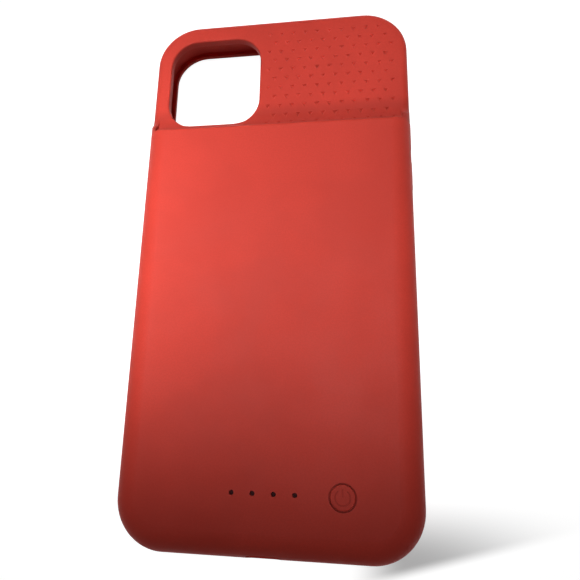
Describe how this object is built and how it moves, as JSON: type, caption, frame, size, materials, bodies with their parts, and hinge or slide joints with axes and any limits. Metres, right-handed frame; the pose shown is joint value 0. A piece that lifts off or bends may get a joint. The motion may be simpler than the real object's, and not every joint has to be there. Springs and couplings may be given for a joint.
{
  "type": "battery charging case",
  "caption": "Phone battery case: soft one-piece shell over a tray with battery, dock plug, charging socket, charge lights and a power button that travels.",
  "frame": {"origin": "middle of the case at the plane of its front lip, which it rests on", "axes": "+X across the case, +Y towards the camera end, +Z out of the back"},
  "size_m": [0.0812, 0.16, 0.0166],
  "materials": {
    "shell_soft": "matt soft-touch",
    "tray_plastic": "fine moulded texture",
    "cell_foil": "satin laminate foil",
    "pad_white": "matt adhesive pad",
    "nickel": "bright nickel strip",
    "board_green": "satin solder mask",
    "tape_amber": "glossy film",
    "lead_red": "smooth insulation",
    "lead_black": "smooth insulation",
    "screw_steel": "zinc plated",
    "light_body": "clear lens over white body",
    "guide_clear": "clear moulded plastic",
    "button_soft": "matt soft-touch",
    "black_plastic": "moulded",
    "switch_metal": "bright cover",
    "chip_black": "moulded epoxy",
    "choke_grey": "pressed powder",
    "capacitor_tan": "satin ceramic",
    "port_steel": "drawn shell",
    "contact_gold": "gold plated",
    "plug_steel": "fine satin",
    "ribbon_amber": "satin film",
    "connector_ivory": "moulded"
  },
  "bodies": {
    "case": {"soft_shell": "shell_soft", "phone_tray": "tray_plastic", "battery_cell": "cell_foil", "cell_pad": "pad_white", "cell_tab_positive": "nickel", "cell_tab_negative": "nickel", "protection_board": "board_green", "insulating_tape": "tape_amber", "lead_positive": "lead_red", "lead_negative": "lead_black", "main_board": "board_green", "board_screw_1": "screw_steel", "board_screw_2": "screw_steel", "board_screw_3": "screw_steel", "board_screw_4": "screw_steel", "charge_light_1": "light_body", "charge_light_2": "light_body", "charge_light_3": "light_body", "charge_light_4": "light_body", "light_guide": "guide_clear", "switch_body": "switch_metal", "charge_chip": "chip_black", "boost_chip": "chip_black", "power_inductor": "choke_grey", "capacitor_1": "capacitor_tan", "capacitor_2": "capacitor_tan", "capacitor_3": "capacitor_tan", "capacitor_4": "capacitor_tan", "charge_port_shell": "port_steel", "charge_port_tongue": "black_plastic", "charge_port_contacts": "contact_gold", "dock_plug_shell": "plug_steel", "dock_plug_core": "black_plastic", "dock_plug_contacts": "contact_gold", "dock_plug_holder": "black_plastic", "dock_board": "board_green", "flex_ribbon": "ribbon_amber", "flex_connector": "connector_ivory"},
    "power_button": {"button_cap": "button_soft", "switch_plunger": "black_plastic"}
  },
  "joints": [
    {"name": "button_press", "type": "slide", "parent": "case", "child": "power_button", "axis": [0, 0, -1], "range_m": [0, 0.0003], "stiffness_N_per_m": 1500, "springref_m": -0.0002}
  ]
}
